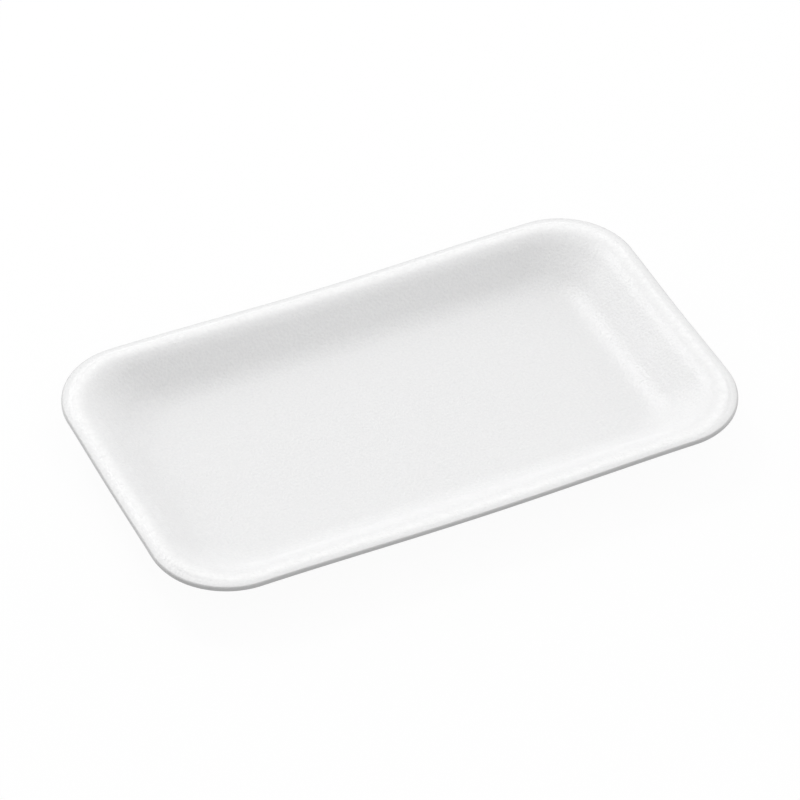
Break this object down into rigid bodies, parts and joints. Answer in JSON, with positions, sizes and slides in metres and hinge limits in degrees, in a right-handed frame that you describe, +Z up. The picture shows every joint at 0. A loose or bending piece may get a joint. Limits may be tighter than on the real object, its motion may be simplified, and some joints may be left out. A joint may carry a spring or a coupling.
{
  "type": "foam food tray",
  "caption": "Shallow rounded rectangular foam food tray with a flat floor, sloping curved walls and a narrow turned-out lip.",
  "frame": {"origin": "middle of the flat underside, on the surface the tray stands on", "axes": "+X along the tray's length, +Y across its width, +Z up out of the open side"},
  "size_m": [0.211, 0.122, 0.0165],
  "materials": {
    "white_foam": "satin foam skin with a fine pebbled grain"
  },
  "bodies": {
    "root": {"tray": "white_foam"}
  },
  "joints": []
}
